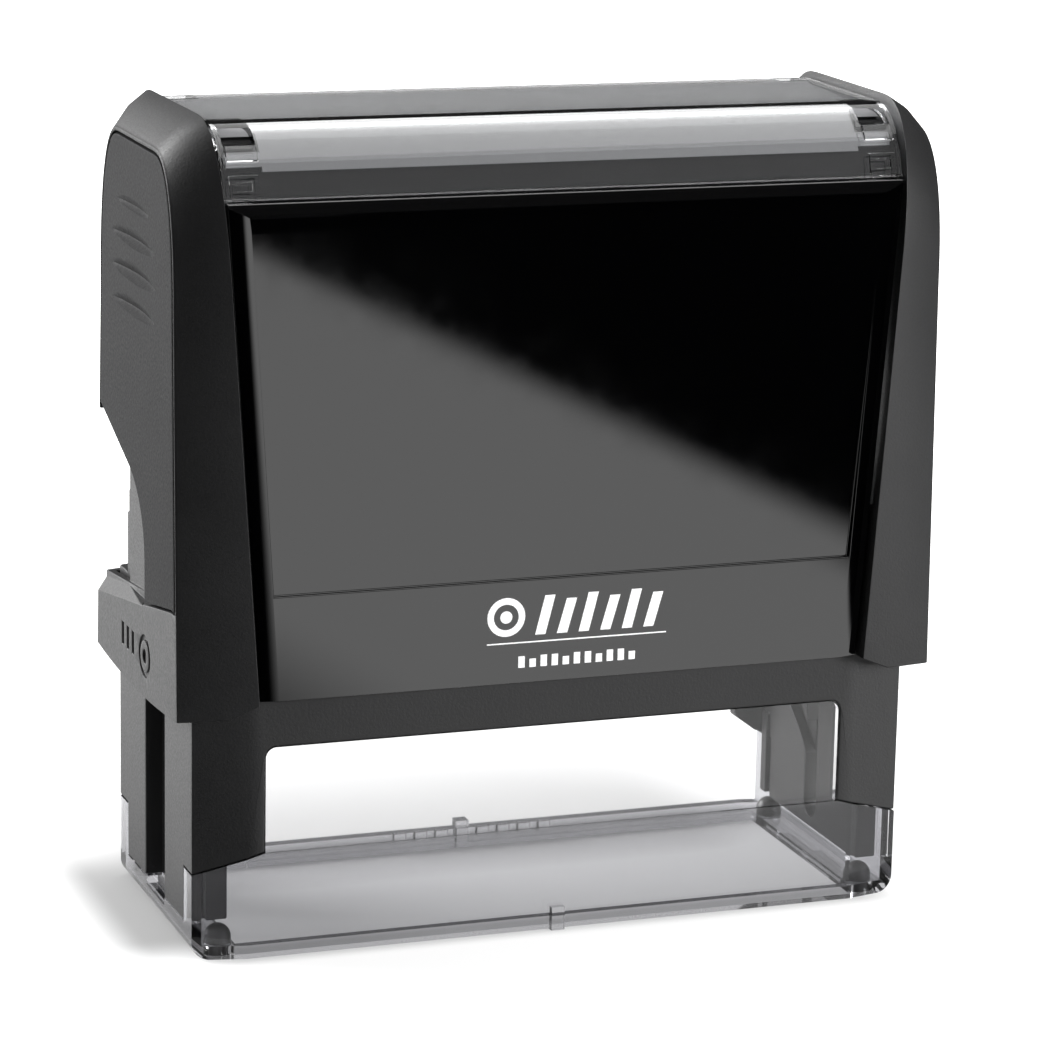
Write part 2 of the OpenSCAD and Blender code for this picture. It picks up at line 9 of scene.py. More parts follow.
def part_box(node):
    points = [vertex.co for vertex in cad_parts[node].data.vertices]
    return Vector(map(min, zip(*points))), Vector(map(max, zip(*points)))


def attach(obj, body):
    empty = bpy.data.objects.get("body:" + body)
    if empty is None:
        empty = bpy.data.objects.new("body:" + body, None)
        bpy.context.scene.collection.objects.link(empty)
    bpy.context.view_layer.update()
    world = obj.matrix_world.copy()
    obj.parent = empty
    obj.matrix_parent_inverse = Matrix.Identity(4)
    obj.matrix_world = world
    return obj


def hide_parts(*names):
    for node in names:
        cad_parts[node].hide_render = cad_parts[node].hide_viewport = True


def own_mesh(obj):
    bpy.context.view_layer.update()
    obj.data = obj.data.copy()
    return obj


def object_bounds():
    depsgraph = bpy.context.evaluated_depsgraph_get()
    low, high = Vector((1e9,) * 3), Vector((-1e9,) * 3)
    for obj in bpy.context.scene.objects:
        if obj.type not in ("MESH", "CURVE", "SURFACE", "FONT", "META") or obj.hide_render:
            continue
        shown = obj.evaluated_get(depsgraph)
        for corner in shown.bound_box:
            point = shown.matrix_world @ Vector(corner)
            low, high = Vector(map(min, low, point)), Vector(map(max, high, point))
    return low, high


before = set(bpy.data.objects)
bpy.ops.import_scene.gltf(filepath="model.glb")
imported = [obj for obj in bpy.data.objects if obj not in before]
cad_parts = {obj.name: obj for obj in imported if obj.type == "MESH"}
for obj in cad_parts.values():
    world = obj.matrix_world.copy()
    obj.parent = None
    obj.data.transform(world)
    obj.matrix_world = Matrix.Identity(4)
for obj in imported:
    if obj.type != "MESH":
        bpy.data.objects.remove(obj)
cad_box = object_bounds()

MM = 0.001

# ---------------------------------------------------------------- helpers

WELD_DISTANCE = 0.002 * MM
FLAT_ANGLE = 0.6  # degrees: faces closer than this to one plane become one face


def new_object(name, bm, material, body, smooth_angle):
    """Turns a bmesh into a piece that rides on a body."""
    mesh = bpy.data.meshes.new(name)
    bmesh.ops.recalc_face_normals(bm, faces=bm.faces)
    bm.to_mesh(mesh)
    bm.free()
    obj = bpy.data.objects.new(name, mesh)
    bpy.context.scene.collection.objects.link(obj)
    mesh.materials.append(material)
    add_smoothing(obj, smooth_angle)
    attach(obj, body)
    return obj


def smoothing_group():
    """Geometry nodes that shade faces smooth, and keep edges over an angle sharp."""
    tree = bpy.data.node_groups.get("smooth_by_angle")
    if tree:
        return tree
    tree = bpy.data.node_groups.new("smooth_by_angle", "GeometryNodeTree")
    tree.interface.new_socket("Geometry", in_out="INPUT", socket_type="NodeSocketGeometry")
    tree.interface.new_socket("Angle", in_out="INPUT", socket_type="NodeSocketFloat")
    tree.interface.new_socket("Geometry", in_out="OUTPUT", socket_type="NodeSocketGeometry")
    nodes, links = tree.nodes, tree.links
    given = nodes.new("NodeGroupInput")
    result = nodes.new("NodeGroupOutput")
    clean = nodes.new("GeometryNodeRemoveAttribute")
    clean.inputs["Name"].default_value = "custom_normal"
    faces = nodes.new("GeometryNodeSetShadeSmooth")
    faces.domain = "FACE"
    edges = nodes.new("GeometryNodeSetShadeSmooth")
    edges.domain = "EDGE"
    measure = nodes.new("GeometryNodeInputMeshEdgeAngle")
    compare = nodes.new("FunctionNodeCompare")
    compare.data_type = "FLOAT"
    compare.operation = "LESS_EQUAL"
    links.new(given.outputs["Geometry"], clean.inputs["Geometry"])
    links.new(clean.outputs["Geometry"], faces.inputs["Geometry"])
    links.new(faces.outputs["Geometry"], edges.inputs["Geometry"])
    links.new(measure.outputs["Unsigned Angle"], compare.inputs["A"])
    links.new(given.outputs["Angle"], compare.inputs["B"])
    links.new(compare.outputs["Result"], edges.inputs["Shade Smooth"])
    links.new(edges.outputs["Geometry"], result.inputs["Geometry"])
    return tree


def add_smoothing(obj, angle, weighted=False):
    """Smooth shading up to an angle; with weighted, flat faces beside rounded edges stay flat."""
    modifier = obj.modifiers.new("smooth", "NODES")
    modifier.node_group = smoothing_group()
    sockets = modifier.node_group.interface.items_tree
    angle_socket = [s for s in sockets if s.name == "Angle"][0]
    modifier[angle_socket.identifier] = math.radians(angle)
    if weighted:
        obj.modifiers.new("flat_faces_stay_flat", "WEIGHTED_NORMAL").keep_sharp = True


def add_bevel(obj, width, segments, angle, clamp):
    """Rounds the edges that are sharper than an angle."""
    modifier = obj.modifiers.new("rounded_edges", "BEVEL")
    modifier.width = width * MM
    modifier.segments = segments
    modifier.limit_method = "ANGLE"
    modifier.angle_limit = math.radians(angle)
    modifier.use_clamp_overlap = clamp


def finish_node(node, material, bevel=0.2, segments=2, smooth_angle=35, sharp=30, full=False):
    """Gives a CAD node its material, merged faces, rounded edges and smooth shading.
    With full, every edge gets the whole bevel width, however narrow the faces beside it are."""
    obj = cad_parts[node]
    obj.data.materials.clear()
    obj.data.materials.append(material)
    obj.modifiers.new("weld", "WELD").merge_threshold = WELD_DISTANCE
    if bevel:
        planar = obj.modifiers.new("planar", "DECIMATE")
        planar.decimate_type = "DISSOLVE"
        planar.angle_limit = math.radians(FLAT_ANGLE)
        if full:
            obj.modifiers.new("triangles", "TRIANGULATE").min_vertices = 5
        add_bevel(obj, bevel, segments, sharp, not full)
    add_smoothing(obj, smooth_angle, bevel > 0)


def add_box(bm, low, high):
    """A box between two corners, in metres."""
    verts = [bm.verts.new((x, y, z))
             for x in (low[0], high[0]) for y in (low[1], high[1]) for z in (low[2], high[2])]
    for ring in ((0, 1, 3, 2), (4, 6, 7, 5), (0, 4, 5, 1), (2, 3, 7, 6), (0, 2, 6, 4), (1, 5, 7, 3)):
        bm.faces.new([verts[i] for i in ring])


def add_tube(bm, path, radius, around):
    """A round tube with flat ends, swept along a list of points."""
    rings = []
    side = None
    for i, point in enumerate(path):
        before, after = path[max(i - 1, 0)], path[min(i + 1, len(path) - 1)]
        tangent = (after - before).normalized()
        if side is None:
            side = tangent.orthogonal().normalized()
        side = (side - tangent * side.dot(tangent)).normalized()
        up = tangent.cross(side)
        turns = [2 * math.pi * j / around for j in range(around)]
        rings.append([bm.verts.new(point + radius * (math.cos(a) * side + math.sin(a) * up))
                      for a in turns])
    for a, b in zip(rings, rings[1:]):
        for j in range(around):
            k = (j + 1) % around
            bm.faces.new((a[j], a[k], b[k], b[j]))
    bm.faces.new(list(reversed(rings[0])))
    bm.faces.new(rings[-1])


class Shader:
    """A material's node tree, with short calls for the nodes that the finishes share."""

    def __init__(self, name):
        self.material = bpy.data.materials.new(name)
        self.material.use_nodes = True
        self.tree = self.material.node_tree
        self.surface = self.tree.nodes["Principled BSDF"]
        self.output = self.tree.nodes["Material Output"]
        self.place = self.tree.nodes.new("ShaderNodeTexCoord").outputs["Object"]

    def set(self, **values):
        """Sets the surface's inputs: base_color is Base Color, and ior is IOR."""
        for key, value in values.items():
            title = key.replace("_", " ").title().replace("Ior", "IOR")
            self.surface.inputs[title].default_value = value

    def link(self, a, b):
        self.tree.links.new(a, b)

    def use(self, title, source):
        """Links a socket to one of the surface's inputs."""
        self.link(source, self.surface.inputs[title])

    def noise(self, per_metre, detail, roughness, stretch=(1, 1, 1)):
        mapping = self.tree.nodes.new("ShaderNodeMapping")
        mapping.inputs["Scale"].default_value = stretch
        texture = self.tree.nodes.new("ShaderNodeTexNoise")
        texture.inputs["Scale"].default_value = per_metre
        texture.inputs["Detail"].default_value = detail
        texture.inputs["Roughness"].default_value = roughness
        self.link(self.place, mapping.inputs["Vector"])
        self.link(mapping.outputs["Vector"], texture.inputs["Vector"])
        return texture.outputs["Fac"]

    def ramp(self, source, low, high, start=0.0, end=1.0):
        """Maps a value onto two colours or two numbers."""
        ramp = self.tree.nodes.new("ShaderNodeValToRGB")
        ramp.color_ramp.elements[0].position = start
        ramp.color_ramp.elements[1].position = end
        for element, value in zip(ramp.color_ramp.elements, (low, high)):
            grey = isinstance(value, (int, float))
            element.color = (value, value, value, 1) if grey else (*value, 1)
        self.link(source, ramp.inputs["Fac"])
        return ramp.outputs["Color"]

    def math(self, operation, a, b=0.0):
        node = self.tree.nodes.new("ShaderNodeMath")
        node.operation = operation
        for socket, value in zip(node.inputs, (a, b)):
            if isinstance(value, (int, float)):
                socket.default_value = value
            else:
                self.link(value, socket)
        return node.outputs[0]

    def less(self, value, mask, amount=1.0):
        """The value, lowered by a share of itself where the mask is one."""
        kept = self.math("SUBTRACT", 1.0, self.math("MULTIPLY", mask, amount))
        return self.math("MULTIPLY", value, kept)

    def fade(self, value, start, end, low=0.0, high=1.0):
        """Moves smoothly from low to high as value goes from start to end."""
        node = self.tree.nodes.new("ShaderNodeMapRange")
        node.interpolation_type = "SMOOTHSTEP"
        limits = {"From Min": start, "From Max": end, "To Min": low, "To Max": high}
        for name, number in limits.items():
            node.inputs[name].default_value = number
        self.link(value, node.inputs["Value"])
        return node.outputs["Result"]

    def area(self, *fades):
        """One inside the area that the fades share. Each is a coordinate, its start and end in mm."""
        inside = 1.0
        for value, start, end in fades:
            inside = self.math("MULTIPLY", self.fade(value, start * MM, end * MM), inside)
        return inside

    def blend(self, factor, first, second):
        """Goes from the first colour to the second; the first may be a socket."""
        node = self.tree.nodes.new("ShaderNodeMix")
        node.data_type = "RGBA"
        self.link(factor, node.inputs["Factor"])
        if isinstance(first, tuple):
            node.inputs["A"].default_value = (*first, 1)
        else:
            self.link(first, node.inputs["A"])
        node.inputs["B"].default_value = (*second, 1)
        return node.outputs["Result"]

    def split(self):
        """The surface point's X, Y and Z."""
        node = self.tree.nodes.new("ShaderNodeSeparateXYZ")
        self.link(self.place, node.inputs["Vector"])
        return [node.outputs[axis] for axis in "XYZ"]

    def ray(self, *kinds):
        """One where the ray is of any of the given kinds."""
        path = self.tree.nodes.new("ShaderNodeLightPath")
        found = path.outputs[kinds[0]]
        for kind in kinds[1:]:
            found = self.math("MAXIMUM", found, path.outputs[kind])
        return found

    def bump(self, source, strength, distance):
        """Small relief on the surface; the distance is in millimetres."""
        node = self.tree.nodes.new("ShaderNodeBump")
        node.inputs["Strength"].default_value = strength
        node.inputs["Distance"].default_value = distance * MM
        self.link(source, node.inputs["Height"])
        self.use("Normal", node.outputs["Normal"])

    def clear_where(self, factor, colour=(1, 1, 1)):
        """Swaps the surface for plain see-through where the factor is one."""
        through = self.tree.nodes.new("ShaderNodeBsdfTransparent")
        through.inputs["Color"].default_value = (*colour, 1)
        mix = self.tree.nodes.new("ShaderNodeMixShader")
        self.link(factor, mix.inputs["Fac"])
        self.link(self.surface.outputs["BSDF"], mix.inputs[1])
        self.link(through.outputs["BSDF"], mix.inputs[2])
        self.link(mix.outputs["Shader"], self.output.inputs["Surface"])


# ---------------------------------------------------------------- materials

BLACK = ((0.010, 0.010, 0.0105), (0.014, 0.014, 0.0145))
SOFT_BLACK = ((0.007, 0.007, 0.0075), (0.0095, 0.0095, 0.01))
INNER_BLACK = ((0.02, 0.02, 0.021), (0.028, 0.028, 0.03))
FOOT_BLACK = ((0.008, 0.008, 0.008), (0.014, 0.014, 0.014))
DIE_GREY = ((0.2, 0.2, 0.21), (0.27, 0.27, 0.28))
SMOKE_TINT = (0.6, 0.6, 0.62)
WINDOW_TINT = (0.95, 0.955, 0.96)
NO_TINT = (0.97, 0.97, 0.975)

# on the cap, all in mm: the top deck under the window, and the thin rims outside the grips, where
# painted shade dulls the reflections
DECK_HALF_WIDTH, DECK_HEIGHT = 38.9, 83.8
RIM_FROM, RIM_HEIGHT = 44.0, 39.4
# painted shade: the share of the reflections taken away on the deck and on the rims
DECK_PAINTED_SHADE, RIM_PAINTED_SHADE = 0.8, 0.6

# on the clear foot, all in mm: the tint fades out up to CLEAR_ABOVE, and painted shade darkens it at
# the floor
CLEAR_ABOVE, TINT_FADE = 13.5, 3.0
# painted shade: a darker tint along the foot's bottom edge
EDGE_SHADE_FROM, EDGE_SHADE_TO, EDGE_SHADE_TINT = 1.6, 1.1, 0.72


def grained_plastic(name, colours, roughness=(0.42, 0.56), grain=3600, depth=0.035,
                    specular=0.5, painted_shade=None):
    """Spark-eroded black plastic: a fine pebbled grain, with slight variation in colour and gloss.
    An optional function makes a factor from the shader, which lowers the reflections in places:
    painted shade."""
    s = Shader(name)
    fine = s.noise(grain, 2.0, 0.55)
    broad = s.noise(90, 3.0, 0.6)
    s.use("Base Color", s.ramp(broad, *colours, 0.3, 0.7))
    s.use("Roughness", s.ramp(fine, *roughness, 0.3, 0.7))
    s.bump(fine, 0.55, depth)
    s.set(specular_ior_level=specular)
    # painted shade: reflections are lowered where the factor is below one
    if painted_shade:
        s.use("Specular IOR Level", s.math("MULTIPLY", painted_shade(s), specular))
    return s.material


def cap_painted_shade(s):
    """Painted shade: the cap reflects less on its deck and on the rims outside the grips."""
    x, _, z = s.split()
    aside = s.math("ABSOLUTE", x)
    deck = s.area((aside, DECK_HALF_WIDTH + 0.1, DECK_HALF_WIDTH), (z, DECK_HEIGHT, DECK_HEIGHT + 0.1))
    rim = s.area((aside, RIM_FROM, RIM_FROM + 0.2), (z, RIM_HEIGHT, RIM_HEIGHT + 0.5))
    return s.less(s.less(1.0, deck, DECK_PAINTED_SHADE), rim, RIM_PAINTED_SHADE)


def gloss_plastic(name):
    """High-gloss black moulding with a faint ripple."""
    s = Shader(name)
    ripple = s.noise(22, 1.0, 0.4)
    haze = s.noise(260, 3.0, 0.6)
    s.set(base_color=(0.002, 0.002, 0.0025, 1), ior=1.9)
    s.use("Roughness", s.ramp(haze, 0.035, 0.06, 0.35, 0.7))
    s.bump(ripple, 0.25, 0.05)
    return s.material


def clear_plastic(name, tint, roughness=0.03, shadow=0.75, on_floor=False):
    """Clear moulding: refracts for the camera and lets tinted light through for shadows.
    On the floor, the tint fades out with height, and is darker at the very foot: painted shade
    for the dark line along the bottom edge."""
    s = Shader(name)
    flow = s.noise(40, 2.0, 0.5, (1, 1, 2.5))
    s.set(base_color=(*tint, 1), transmission_weight=1.0, ior=1.47, roughness=roughness)
    s.bump(flow, 0.12, 0.04)
    if on_floor:
        height = s.split()[2]
        clearness = s.area((height, CLEAR_ABOVE - TINT_FADE, CLEAR_ABOVE))
        # painted shade: a darker tint at the very foot
        painted_edge_shade = s.area((height, EDGE_SHADE_FROM, EDGE_SHADE_TO))
        dark = tuple(c * EDGE_SHADE_TINT for c in tint)
        s.use("Base Color", s.blend(painted_edge_shade, s.blend(clearness, tint, NO_TINT), dark))
    s.clear_where(s.ray("Is Shadow Ray", "Is Diffuse Ray"), [c * shadow for c in tint])
    return s.material


def spring_wire(name):
    """Bright drawn steel, with fine lines along the wire."""
    s = Shader(name)
    s.set(metallic=1.0)
    streak = s.noise(1500, 3.0, 0.6, (1, 1, 6))
    s.use("Base Color", s.ramp(streak, (0.42, 0.42, 0.43), (0.68, 0.68, 0.67)))
    s.use("Roughness", s.ramp(streak, 0.22, 0.4))
    return s.material


def felt(name):
    """Ink-soaked felt: matted fibres with dark patches."""
    s = Shader(name)
    fibres = s.noise(2600, 6.0, 0.75)
    patches = s.noise(120, 3.0, 0.6)
    s.use("Base Color", s.ramp(patches, (0.006, 0.006, 0.012), (0.03, 0.03, 0.05), 0.35, 0.7))
    s.set(roughness=0.85, sheen_weight=0.35)
    s.bump(fibres, 0.9, 0.12)
    return s.material


def rubber(name, colours, roughness=0.62):
    """Moulded rubber with a fine tooth."""
    s = Shader(name)
    tooth = s.noise(2400, 4.0, 0.65)
    broad = s.noise(160, 2.0, 0.5)
    s.use("Base Color", s.ramp(broad, *colours, 0.35, 0.65))
    s.set(roughness=roughness)
    s.bump(tooth, 0.5, 0.03)
    return s.material


def foam(name):
    """Closed-cell foam."""
    s = Shader(name)
    texture = s.tree.nodes.new("ShaderNodeTexVoronoi")
    texture.inputs["Scale"].default_value = 2500
    s.link(s.place, texture.inputs["Vector"])
    cells = texture.outputs["Distance"]
    s.use("Base Color", s.ramp(cells, (0.5, 0.5, 0.47), (0.74, 0.74, 0.7)))
    s.set(roughness=0.9)
    s.bump(cells, 0.7, 0.08)
    return s.material


def card(name):
    """Light grey index card with a faint fibre."""
    s = Shader(name)
    fibre = s.noise(1600, 4.0, 0.6, (1, 4, 4))
    s.use("Base Color", s.ramp(fibre, (0.165, 0.165, 0.17), (0.185, 0.185, 0.19)))
    s.set(roughness=0.7)
    s.bump(fibre, 0.08, 0.005)
    return s.material


def silver_print(name):
    """Light silver print on the gloss panel, with a faint glow so that it reads as bright."""
    s = Shader(name)
    grain = s.noise(3000, 2.0, 0.5)
    s.use("Base Color", s.ramp(grain, (0.72, 0.72, 0.73), (0.9, 0.9, 0.9)))
    s.set(roughness=0.45, metallic=0.15, emission_color=(0.8, 0.8, 0.8, 1), emission_strength=0.35)
    return s.material


MATTE = grained_plastic("matte_black", BLACK, specular=0.38)
# the cap's material carries painted shade on its deck and rims
SHELL = grained_plastic("matte_black_cap", BLACK, specular=0.3, painted_shade=cap_painted_shade)
GRIP = grained_plastic("soft_grip", SOFT_BLACK, (0.55, 0.7), 3000, 0.04, 0.065)
INNER = grained_plastic("cartridge_black", INNER_BLACK, (0.3, 0.4), 2200, 0.01)
GLOSS = gloss_plastic("gloss_black")
SMOKE = clear_plastic("smoke_clear", SMOKE_TINT, on_floor=True)
CLEAR = clear_plastic("clear", WINDOW_TINT, 0.02, 0.95)
STEEL = spring_wire("spring_steel")
FELT = felt("felt")
FEET = rubber("soft_rubber", FOOT_BLACK, 0.45)
DIE = rubber("die_rubber", DIE_GREY)
FOAM = foam("foam")
CARD = card("card")
PRINT = silver_print("silver_print")

# ---------------------------------------------------------------- CAD nodes that keep their shape

finish_node("frame", MATTE, 0.2, full=True)
finish_node("cap_body", SHELL, 0.13, full=True)
finish_node("left_grip", GRIP, 0.25, sharp=70)
finish_node("right_grip", GRIP, 0.25, sharp=70)
finish_node("front_panel", GLOSS, 0.2, 3)
finish_node("rear_panel", GLOSS, 0.45, 3)
finish_node("clear_foot", SMOKE, 0.0, smooth_angle=12)
finish_node("corner_feet", FEET, 0.0)
finish_node("ink_cartridge", INNER, 0.2)
finish_node("yoke", MATTE, 0.2)
finish_node("index_card", CARD, 0.0)
finish_node("index_window", CLEAR, 0.1)
finish_node("text_plate_carrier", INNER, 0.15)
finish_node("die_foam", FOAM, 0.0)
finish_node("text_die", DIE, 0.12)
finish_node("left_lock_button", GRIP, 0.25)
finish_node("right_lock_button", GRIP, 0.25)

# ---------------------------------------------------------------- return springs

WIRE_RADIUS = 0.45 * MM
COIL_TURNS = 9
POINTS_PER_TURN = 28
CLOSED_PITCH = 2.05 * WIRE_RADIUS  # rise of the end turns, which lie on their neighbours


def return_spring(node):
    """A round-wire coil with closed ends."""
    low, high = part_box(node)
    radius = (high.x - low.x) / 2 - WIRE_RADIUS
    free = high.z - low.z
    open_length = free - 2 * WIRE_RADIUS - 2 * CLOSED_PITCH
    centre = Vector(((low.x + high.x) / 2, (low.y + high.y) / 2, 0))
    path = []
    for i in range(COIL_TURNS * POINTS_PER_TURN + 1):
        turn = i / POINTS_PER_TURN
        closed = min(turn, 1.0) + max(0.0, turn - (COIL_TURNS - 1))
        middle = max(0.0, min(1.0, (turn - 1) / (COIL_TURNS - 2)))
        z = low.z + WIRE_RADIUS + closed * CLOSED_PITCH + middle * open_length
        a = 2 * math.pi * turn
        path.append(centre + Vector((math.cos(a) * radius, math.sin(a) * radius, z)))
    bm = bmesh.new()
    add_tube(bm, path, WIRE_RADIUS, 12)
    spring = new_object(node + "_coil", bm, STEEL, "base", 60)
    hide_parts(node)
    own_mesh(spring)


return_spring("left_return_spring")
return_spring("right_return_spring")

# ---------------------------------------------------------------- ink pad

FELT_EDGE = 1.6 * MM  # longest edge in the felt's mesh
FELT_SINK = 0.12  # mm, how far the felt's faces lie inside the CAD block
FELT_ROUGH = 0.1  # mm, how much that varies


def ink_felt():
    """Felt block with slightly uneven, fibrous faces."""
    low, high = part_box("ink_pad")
    bm = bmesh.new()
    add_box(bm, low, high)
    bmesh.ops.subdivide_edges(bm, edges=bm.edges, cuts=1, use_grid_fill=True)
    for _ in range(5):
        long_edges = [e for e in bm.edges if e.calc_length() > FELT_EDGE]
        if not long_edges:
            break
        bmesh.ops.subdivide_edges(bm, edges=long_edges, cuts=1, use_grid_fill=True)
    centre = (low + high) / 2
    half = (high - low) / 2
    for v in bm.verts:
        place = Vector([(v.co[i] - centre[i]) / half[i] for i in range(3)])
        rough = noise.noise(v.co * 900) * 0.5 + noise.noise(v.co * 300) * 0.5
        inward = Vector([-p if abs(p) > 0.999 else 0 for p in place])
        v.co += inward * (FELT_SINK + FELT_ROUGH * rough) * MM
    pad = new_object("ink_pad_felt", bm, FELT, "cartridge", 60)
    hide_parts("ink_pad")


ink_felt()

# ---------------------------------------------------------------- generic printed mark

PRINT_LIFT = 0.02 * MM  # how far the print stands off the panel
MARK_LEFT, MARK_RIGHT = -9.4, 11.7


def panel_print():
    """Plain printed mark on the front panel's lower band: a ring and slanted bars over a rule and
    small bars. All sizes are in mm, across from the middle and up from the panel's lower edge."""
    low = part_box("front_panel")[0]
    depths = (low.y - PRINT_LIFT, low.y + PRINT_LIFT)
    bm = bmesh.new()

    def bar(x0, x1, z0, z1, lean=0.0):
        """An upright plate whose top is shifted sideways by lean."""
        first = len(bm.verts)
        add_box(bm, (x0 * MM, depths[0], low.z + z0 * MM), (x1 * MM, depths[1], low.z + z1 * MM))
        bm.verts.ensure_lookup_table()
        for v in bm.verts[first:]:
            v.co.x += lean * MM * ((v.co.z - low.z) / MM - z0) / (z1 - z0)

    def ring(x, z, outer, inner, steps=32):
        """A flat ring."""
        for i in range(steps):
            a, b = (2 * math.pi * k / steps for k in (i, i + 1))
            corners = []
            for y in depths:
                for angle, r in ((a, inner), (b, inner), (b, outer), (a, outer)):
                    across, up = x + r * math.cos(angle), z + r * math.sin(angle)
                    corners.append(bm.verts.new((across * MM, y, low.z + up * MM)))
            for quad in ((0, 1, 2, 3), (7, 6, 5, 4), (2, 3, 7, 6), (0, 1, 5, 4)):
                bm.faces.new([corners[k] for k in quad])

    ring(MARK_LEFT + 2.2, 7.6, 2.2, 1.45)
    ring(MARK_LEFT + 2.2, 7.6, 0.7, 0.02)
    for i in range(6):
        x = MARK_LEFT + 5.6 + i * 2.55
        bar(x, x + 1.2, 5.4, 9.8 - 0.5 * (i % 2), 1.1)
    bar(MARK_LEFT, MARK_RIGHT, 4.55, 4.7)
    for i in range(11):
        x = -5.7 + i * 1.3
        bar(x, x + 0.75, 1.75, 3.05 - 0.35 * (i % 3 == 1))
    mark = new_object("panel_print", bm, PRINT, "cap", 30)


panel_print()

# ---------------------------------------------------------------- camera

VIEW_AZIMUTH = -20.03
VIEW_ELEVATION = 13.59
VIEW_ROLL = 1.13
VIEW_DISTANCE = 0.4728
FOCAL_IN_FRAMES = 3.9933  # focal length as a share of the picture's width
SENSOR = 36.0
AIM_FROM_CENTRE = Vector((0.88, 0, -2.89)) * MM


def place_camera():
    low, high = (Vector(v) for v in cad_box)
    aim = Vector((0, 0, (low.z + high.z) / 2)) + AIM_FROM_CENTRE
    azimuth, elevation = math.radians(VIEW_AZIMUTH), math.radians(VIEW_ELEVATION)
    level = math.cos(elevation)
    back = Vector((math.sin(azimuth) * level, -math.cos(azimuth) * level, math.sin(elevation)))
    camera = bpy.data.objects.new("camera", bpy.data.cameras.new("camera"))
    bpy.context.scene.collection.objects.link(camera)
    turn = back.to_track_quat("Z", "Y").to_matrix().to_4x4()
    roll = Matrix.Rotation(math.radians(VIEW_ROLL), 4, "Z")
    camera.matrix_world = Matrix.Translation(aim + back * VIEW_DISTANCE) @ turn @ roll
    camera.data.sensor_width = SENSOR
    camera.data.lens = SENSOR * FOCAL_IN_FRAMES
    camera.data.clip_start = 0.01
    bpy.context.scene.camera = camera


# ---------------------------------------------------------------- studio

FLOOR_PAINT = 0.4
FLOOR_GLOW, FAR_GLOW = 0.8, 0.8  # near the object, and what is added far from it
FAR_FROM, FAR_TO = 70, 300  # mm
# painted shadows: how far the floor's glow dims under, behind and left of the object
UNDER_SHADE, BEHIND_SHADE, LEFT_SHADE = 0.42, 0.72, 0.9
# painted reflection: floor glow that only mirror-like reflections see, on the left
LEFT_REFLECTION_GLOW = 0.9
# how bright the painted reflection card glows
REFLECTION_CARD_GLOW = 1.1
ROOM = (0.03, 0.03, 0.03, 1)
WHITE = (1, 1, 1, 1)
FLOOR_HALF = 4.0
CARD_HALF, CARD_END, CARD_HEIGHT = 1.5, -2.0, 0.5 * MM
CARD_GAP = 4 * MM  # between the card and the object's front

LAMP_AIM = Vector((0, 0, 0.05))
# name, place, width and height, all in metres, and watts
LAMPS = (
    ("back_left", (-0.5, 0.45, 0.3), (0.5, 0.4), 13.0),
    ("top", (0.25, 0.15, 0.8), (1.3, 1.0), 7.5),
    ("right_fill", (0.5, -0.55, 0.16), (0.3, 0.3), 6.0),
)


def studio_floor(name):
    """Pale floor: part glow, so that its shadows stay soft and light, and brighter to the eye further
    out. Painted shadow: the glow dims under and behind the object and in a soft area on its left.
    Painted reflection: mirror-like reflections see the floor glow only on the left. From below the
    floor is clear."""
    s = Shader(name)
    wash = s.noise(3, 2.0, 0.5)
    s.use("Base Color", s.ramp(wash, FLOOR_PAINT * 0.99, FLOOR_PAINT))
    s.set(roughness=0.9, specular_ior_level=0.0, emission_color=WHITE)
    x, y, _ = s.split()
    squares = s.math("ADD", s.math("MULTIPLY", x, x), s.math("MULTIPLY", y, y))
    distance = s.math("SQRT", squares)
    seen = s.fade(distance, FAR_FROM * MM, FAR_TO * MM, 0.0, FAR_GLOW)
    seen = s.math("ADD", seen, FLOOR_GLOW)
    (left, front, _), (right, rear, _) = (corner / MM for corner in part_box("clear_foot"))
    # painted shadow: a soft darker area on the floor left of the foot
    left_shadow = s.area((x, left - 10, left - 3), (x, left + 5, left + 2),
                   (y, front - 2, front + 10), (y, rear + 12, rear - 3))
    # painted shadow under and behind the object
    under = s.area((x, left - 2, left + 6), (x, right + 1, right - 5),
                   (y, front - 2, front + 1), (y, rear + 8, rear - 4))
    behind = s.area((x, left - 10, left + 16), (x, right + 10, right - 16),
                    (y, -8, 14), (y, rear + 60, rear + 6))
    shade = s.math("MAXIMUM", s.math("MULTIPLY", under, UNDER_SHADE),
                   s.math("MULTIPLY", behind, BEHIND_SHADE))
    seen = s.less(s.less(seen, shade), left_shadow, LEFT_SHADE)
    seen = s.math("MULTIPLY", seen, s.ray("Is Camera Ray", "Is Transmission Ray"))
    # painted reflection: the floor glows on the left for mirror-like reflections only
    on_left = s.fade(x, -0.04, -0.06, 0.0, LEFT_REFLECTION_GLOW)
    mirrored = s.math("MULTIPLY", s.ray("Is Glossy Ray"), on_left)
    s.use("Emission Strength", s.math("ADD", seen, mirrored))
    s.clear_where(s.tree.nodes.new("ShaderNodeNewGeometry").outputs["Backfacing"])
    return s.material


def painted_reflection_card(name):
    """Painted reflection: a glowing sheet that only mirror-like reflections see, in place of the
    table in front: dark on the left, pale ahead, black beyond a slanting edge, and pale again on
    the far right."""
    s = Shader(name)
    x, y, _ = s.split()
    ahead = s.fade(x, -0.04, 0.01)
    past_edge = s.fade(s.math("SUBTRACT", x, s.math("MULTIPLY", y, 0.114)), 0.114, 0.128)
    in_front = s.fade(s.math("ADD", s.math("MULTIPLY", x, 0.3), y), 0.0, -0.03)
    level = s.less(ahead, s.math("MULTIPLY", past_edge, in_front))
    glow = s.tree.nodes.new("ShaderNodeEmission")
    s.link(s.math("MULTIPLY", level, REFLECTION_CARD_GLOW), glow.inputs["Strength"])
    s.link(glow.outputs["Emission"], s.output.inputs["Surface"])
    return s.material


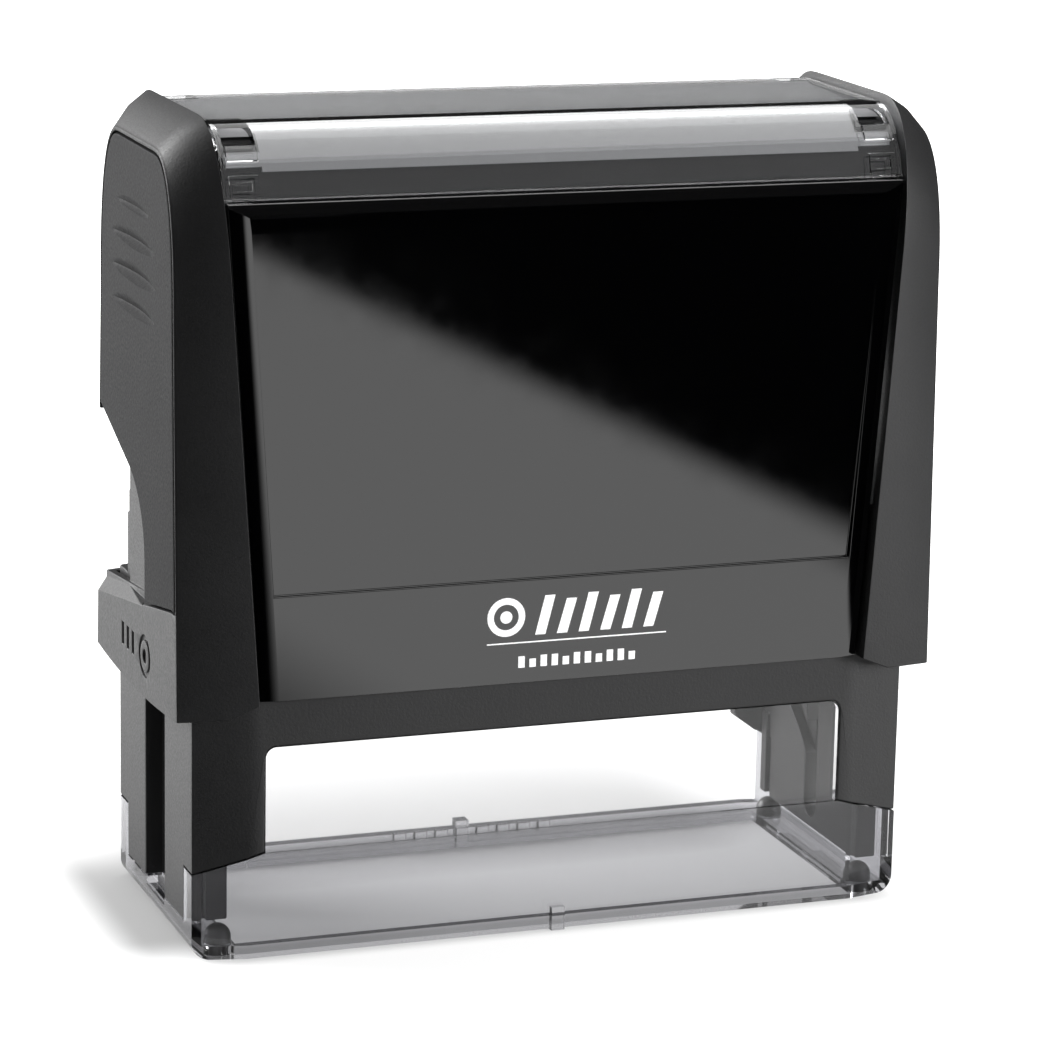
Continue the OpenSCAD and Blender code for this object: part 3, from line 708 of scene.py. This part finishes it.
def sheet(name, half, start, end, height, material):
    """A flat level stage sheet, with its half width in X and its start and end in Y."""
    bm = bmesh.new()
    corners = ((-half, start), (half, start), (half, end), (-half, end))
    bm.faces.new([bm.verts.new((*corner, height)) for corner in corners])
    mesh = bpy.data.meshes.new(name)
    bm.to_mesh(mesh)
    bm.free()
    obj = bpy.data.objects.new(name, mesh)
    bpy.context.scene.collection.objects.link(obj)
    mesh.materials.append(material)
    return obj


def area_light(name, where, size, watts):
    """A rectangular lamp that points at the object."""
    data = bpy.data.lights.new(name, "AREA")
    data.shape = "RECTANGLE"
    data.size, data.size_y = size
    data.energy = watts
    light = bpy.data.objects.new(name, data)
    bpy.context.scene.collection.objects.link(light)
    light.location = where
    light.rotation_euler = (Vector(where) - LAMP_AIM).to_track_quat("Z", "Y").to_euler()
    return light


def keep_off(light, node):
    """A node takes no light from a lamp, and doesn't mirror it."""
    unlit = bpy.data.collections.new("unlit_by_" + light.name)
    unlit.objects.link(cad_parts[node])
    unlit.collection_objects[0].light_linking.link_state = "EXCLUDE"
    light.light_linking.receiver_collection = unlit


def light_room():
    """A dim room that the camera sees as white."""
    world = bpy.data.worlds.new("studio")
    bpy.context.scene.world = world
    world.use_nodes = True
    nodes, links = world.node_tree.nodes, world.node_tree.links
    nodes["Background"].inputs["Color"].default_value = ROOM
    white = nodes.new("ShaderNodeBackground")
    white.inputs["Color"].default_value = WHITE
    path = nodes.new("ShaderNodeLightPath")
    either = nodes.new("ShaderNodeMath")
    either.operation = "MAXIMUM"
    mix = nodes.new("ShaderNodeMixShader")
    links.new(path.outputs["Is Camera Ray"], either.inputs[0])
    links.new(path.outputs["Is Transmission Ray"], either.inputs[1])
    links.new(either.outputs[0], mix.inputs["Fac"])
    links.new(nodes["Background"].outputs["Background"], mix.inputs[1])
    links.new(white.outputs["Background"], mix.inputs[2])
    links.new(mix.outputs["Shader"], nodes["World Output"].inputs["Surface"])


def build_studio():
    sheet("floor", FLOOR_HALF, -FLOOR_HALF, FLOOR_HALF, 0, studio_floor("floor"))
    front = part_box("clear_foot")[0].y - CARD_GAP
    # painted reflection: a glowing card that only mirror-like reflections see
    mirror_card = sheet("reflection_card", CARD_HALF, front, CARD_END, CARD_HEIGHT,
                        painted_reflection_card("reflection_card"))
    for kind in ("camera", "diffuse", "shadow", "transmission", "volume_scatter"):
        setattr(mirror_card, "visible_" + kind, False)
    lights = {name: area_light(name, *rest) for name, *rest in LAMPS}
    keep_off(lights["right_fill"], "front_panel")
    light_room()
    scene = bpy.context.scene
    scene.view_settings.view_transform = "Standard"
    scene.cycles.max_bounces = 16
    scene.cycles.transmission_bounces = 12
    scene.cycles.transparent_max_bounces = 16


place_camera()
build_studio()
